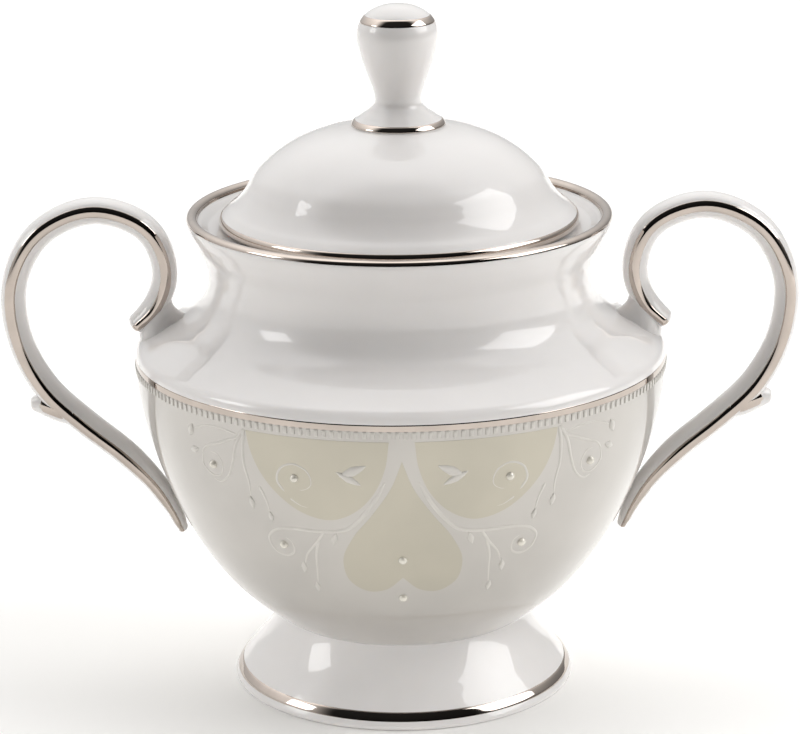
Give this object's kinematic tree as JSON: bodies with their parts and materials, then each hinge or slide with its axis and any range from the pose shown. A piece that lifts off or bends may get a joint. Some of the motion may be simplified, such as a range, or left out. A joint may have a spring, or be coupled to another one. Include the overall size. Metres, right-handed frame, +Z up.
{
  "type": "covered sugar bowl",
  "caption": "Covered sugar bowl with scroll handles on a pedestal foot, white glazed bone china with platinum bands, lustre ground and raised enamel, and a lift-off domed lid.",
  "frame": {"origin": "centre of the foot's resting ring, on the table", "axes": "+Z up along the axis of the bowl; +X towards the right-hand handle; the decorated front faces -Y"},
  "size_m": [0.1734, 0.1158, 0.15],
  "materials": {
    "bone_china": "clear gloss glaze over white bone china",
    "platinum": "burnished fired-on platinum, mirror bright",
    "lustre_ground": "warm grey pearlescent lustre under gloss glaze",
    "lustre_cream": "cream pearlescent lustre, slightly darker than the ground",
    "raised_enamel": "raised white enamel paste, soft gloss",
    "pearl_enamel": "raised pearl enamel dots, pearly gloss"
  },
  "bodies": {
    "bowl": {"bowl_body": "bone_china", "pedestal_foot": "bone_china", "handle_left": "bone_china", "handle_right": "bone_china", "rim_band": "platinum", "shoulder_band": "platinum", "foot_band": "platinum", "handle_line_left": "platinum", "handle_line_right": "platinum", "dentil_border": "raised_enamel", "pearl_beads": "pearl_enamel"},
    "lid": {"lid_dome": "bone_china", "lid_finial": "bone_china", "lid_edge_band": "platinum", "finial_collar_band": "platinum", "finial_crown_band": "platinum"}
  },
  "joints": [
    {"name": "lid_lift", "type": "slide", "parent": "bowl", "child": "lid", "axis": [0, 0, 1], "range_m": [0, 0.045]}
  ]
}
